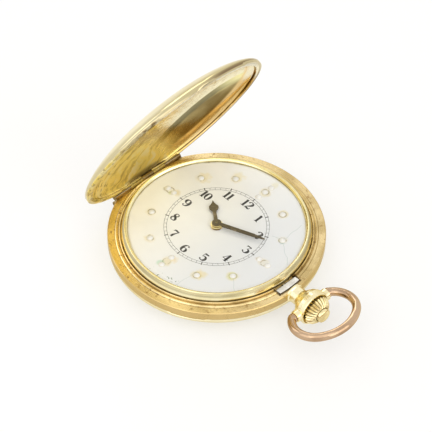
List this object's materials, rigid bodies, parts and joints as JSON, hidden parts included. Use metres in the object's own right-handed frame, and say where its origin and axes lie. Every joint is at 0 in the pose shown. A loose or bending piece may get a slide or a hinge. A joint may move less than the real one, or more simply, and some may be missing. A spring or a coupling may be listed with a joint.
{
  "type": "hunter pocket watch",
  "caption": "Hunter pocket watch with a sprung front cover, touch points on an open dial, crown in the pendant and a swinging bow.",
  "frame": {"origin": "middle of the flat of the closed back cover, on which the watch lies", "axes": "+Z along the dial's normal, +X to the crown at three o'clock, +Y to twelve o'clock"},
  "size_m": [0.0671, 0.05, 0.0511],
  "materials": {
    "case_middle": "polished gold shell, rubbed dull at the edges",
    "pendant": "reddish gold, polished",
    "bezel": "polished gold shell, rubbed dull at the edges",
    "dial": "cream enamel, semi gloss, with printed numerals and old stains",
    "touch_points": "white enamel beads with yellowed edges",
    "main_plate": "nickelled plate with a fine grain",
    "barrel_bridge": "nickelled plate with a fine grain",
    "train_bridge": "nickelled plate with a fine grain",
    "balance_cock": "nickelled plate with a fine grain",
    "pallet_bridge": "nickelled plate with a fine grain",
    "jewels": "polished red stone",
    "bridge_screws": "polished steel",
    "barrel": "gilded brass, fine turned",
    "ratchet_wheel": "polished steel",
    "crown_wheel": "polished steel",
    "click": "polished steel",
    "click_spring": "polished steel",
    "centre_wheel": "gilded brass, fine turned",
    "third_wheel": "gilded brass, fine turned",
    "fourth_wheel": "gilded brass, fine turned",
    "escape_wheel": "polished steel",
    "pallet_fork": "polished steel",
    "balance_wheel": "gilded brass, fine turned",
    "hairspring": "polished steel",
    "cannon_pinion": "polished steel",
    "minute_wheel": "gilded brass, fine turned",
    "hour_wheel": "gilded brass, fine turned",
    "hour_hand": "dark brown steel",
    "minute_hand": "dark brown steel",
    "winding_pinion": "polished steel",
    "sliding_pinion": "polished steel",
    "winding_stem": "polished steel",
    "crown": "polished gold shell, rubbed dull at the edges",
    "lock_spring": "polished steel",
    "lift_spring": "polished steel",
    "hinge_pins": "polished gold shell, rubbed dull at the edges",
    "front_lid": "polished gold shell, rubbed dull at the edges",
    "back_cover": "polished gold shell, rubbed dull at the edges",
    "cuvette": "polished gold shell, rubbed dull at the edges",
    "bow": "reddish gold, polished"
  },
  "bodies": {
    "case": {"case_middle": "case_middle", "pendant": "pendant", "hinge_pins": "hinge_pins", "bezel": "bezel", "dial": "dial", "touch_points": "touch_points", "main_plate": "main_plate", "barrel_bridge": "barrel_bridge", "train_bridge": "train_bridge", "balance_cock": "balance_cock", "pallet_bridge": "pallet_bridge", "jewels": "jewels", "bridge_screws": "bridge_screws", "hairspring": "hairspring", "lift_spring": "lift_spring", "click_spring": "click_spring"},
    "front_lid": {"front_lid": "front_lid"},
    "back_cover": {"back_cover": "back_cover"},
    "cuvette": {"cuvette": "cuvette"},
    "bow": {"bow": "bow"},
    "winding_pinion": {"winding_pinion": "winding_pinion"},
    "winding_stem": {"winding_stem": "winding_stem"},
    "crown": {"crown": "crown"},
    "lock_spring": {"lock_spring": "lock_spring"},
    "minute_group": {"cannon_pinion": "cannon_pinion", "minute_hand": "minute_hand"},
    "hour_group": {"hour_wheel": "hour_wheel", "hour_hand": "hour_hand"},
    "barrel": {"barrel": "barrel"},
    "ratchet_wheel": {"ratchet_wheel": "ratchet_wheel"},
    "crown_wheel": {"crown_wheel": "crown_wheel"},
    "click": {"click": "click"},
    "centre_wheel": {"centre_wheel": "centre_wheel"},
    "third_wheel": {"third_wheel": "third_wheel"},
    "fourth_wheel": {"fourth_wheel": "fourth_wheel"},
    "escape_wheel": {"escape_wheel": "escape_wheel"},
    "pallet_fork": {"pallet_fork": "pallet_fork"},
    "balance_wheel": {"balance_wheel": "balance_wheel"},
    "minute_wheel": {"minute_wheel": "minute_wheel"},
    "sliding_pinion": {"sliding_pinion": "sliding_pinion"}
  },
  "joints": [
    {"name": "front_lid_hinge", "type": "hinge", "parent": "case", "child": "front_lid", "pos_m": [-0.02366, 0, 0.0069], "axis": [0, -1, 0], "range_deg": [-64.8, 0], "stiffness_Nm_per_rad": 0.0034, "springref_deg": 20.23},
    {"name": "back_cover_hinge", "type": "hinge", "parent": "case", "child": "back_cover", "pos_m": [-0.02366, 0, 0.0047], "axis": [0, 1, 0], "range_deg": [0, 80]},
    {"name": "cuvette_hinge", "type": "hinge", "parent": "case", "child": "cuvette", "pos_m": [-0.0215, 0, 0.00295], "axis": [0, 1, 0], "range_deg": [0, 60]},
    {"name": "bow_swing", "type": "hinge", "parent": "case", "child": "bow", "pos_m": [0.0303, 0, 0.0063], "axis": [0, 1, 0], "range_deg": [-101.6, 118.4]},
    {"name": "crown_turn", "type": "hinge", "parent": "case", "child": "winding_pinion", "pos_m": [0.017, 0, 0.0063], "axis": [1, 0, 0], "continuous": true},
    {"name": "crown_pull", "type": "slide", "parent": "winding_pinion", "child": "winding_stem", "axis": [1, 0, 0], "range_m": [0, 0.001]},
    {"name": "crown_press", "type": "slide", "parent": "winding_stem", "child": "crown", "axis": [1, 0, 0], "range_m": [-0.0005, 0], "stiffness_N_per_m": 200, "springref_m": 0.001},
    {"name": "lock_spring_slide", "type": "slide", "parent": "case", "child": "lock_spring", "axis": [1, 0, 0], "range_m": [-0.0005, 0]},
    {"name": "minute_turn", "type": "hinge", "parent": "case", "child": "minute_group", "pos_m": [0, 0, 0.0084], "axis": [0, 0, 1], "continuous": true},
    {"name": "hour_turn", "type": "hinge", "parent": "case", "child": "hour_group", "pos_m": [0, 0, 0.0084], "axis": [0, 0, 1], "continuous": true},
    {"name": "fourth_turn", "type": "hinge", "parent": "case", "child": "fourth_wheel", "pos_m": [-0.00616, -0.00374, 0.0044], "axis": [0, 0, 1], "continuous": true},
    {"name": "third_turn", "type": "hinge", "parent": "case", "child": "third_wheel", "pos_m": [-0.0055, 0.00097, 0.0044], "axis": [0, 0, 1], "continuous": true},
    {"name": "centre_turn", "type": "hinge", "parent": "case", "child": "centre_wheel", "pos_m": [0, 0, 0.0044], "axis": [0, 0, 1], "continuous": true},
    {"name": "barrel_turn", "type": "hinge", "parent": "case", "child": "barrel", "pos_m": [0.00653, 0.00653, 0.0044], "axis": [0, 0, 1], "continuous": true},
    {"name": "escape_turn", "type": "hinge", "parent": "case", "child": "escape_wheel", "pos_m": [-0.0053, -0.00778, 0.0044], "axis": [0, 0, 1], "continuous": true},
    {"name": "crown_wheel_turn", "type": "hinge", "parent": "case", "child": "crown_wheel", "pos_m": [0.015, 0, 0.0023], "axis": [0, 0, 1], "continuous": true},
    {"name": "ratchet_turn", "type": "hinge", "parent": "case", "child": "ratchet_wheel", "pos_m": [0.00653, 0.00653, 0.0023], "axis": [0, 0, 1], "continuous": true},
    {"name": "minute_wheel_turn", "type": "hinge", "parent": "case", "child": "minute_wheel", "pos_m": [0.00319, -0.00116, 0.0074], "axis": [0, 0, 1], "continuous": true},
    {"name": "pallet_rock", "type": "hinge", "parent": "case", "child": "pallet_fork", "pos_m": [-0.0024, -0.00945, 0.0042], "axis": [0, 0, 1], "range_deg": [-5, 5]},
    {"name": "balance_swing", "type": "hinge", "parent": "case", "child": "balance_wheel", "pos_m": [0.00133, -0.0116, 0.003], "axis": [0, 0, 1], "range_deg": [-150, 150], "stiffness_Nm_per_rad": 0.0000004},
    {"name": "click_lift", "type": "hinge", "parent": "case", "child": "click", "pos_m": [0.00376, 0.01417, 0.0023], "axis": [0, 0, 1], "range_deg": [0, 8]},
    {"name": "sliding_pinion_slide", "type": "slide", "parent": "winding_pinion", "child": "sliding_pinion", "axis": [1, 0, 0], "range_m": [-0.0009, 0]}
  ],
  "couplings": [
    {"joint": "cuvette_hinge", "follows": "back_cover_hinge", "ratio": 0.75},
    {"joint": "lock_spring_slide", "follows": "crown_press", "ratio": 1},
    {"joint": "hour_turn", "follows": "minute_turn", "ratio": 0.083333},
    {"joint": "third_turn", "follows": "fourth_turn", "ratio": -0.13333},
    {"joint": "centre_turn", "follows": "fourth_turn", "ratio": 0.016667},
    {"joint": "barrel_turn", "follows": "fourth_turn", "ratio": -0.0027778},
    {"joint": "escape_turn", "follows": "fourth_turn", "ratio": -10},
    {"joint": "crown_wheel_turn", "follows": "crown_turn", "ratio": 0.625},
    {"joint": "ratchet_turn", "follows": "crown_turn", "ratio": -0.34722},
    {"joint": "minute_wheel_turn", "follows": "minute_turn", "ratio": -0.33333},
    {"joint": "sliding_pinion_slide", "follows": "crown_pull", "ratio": -0.9}
  ]
}
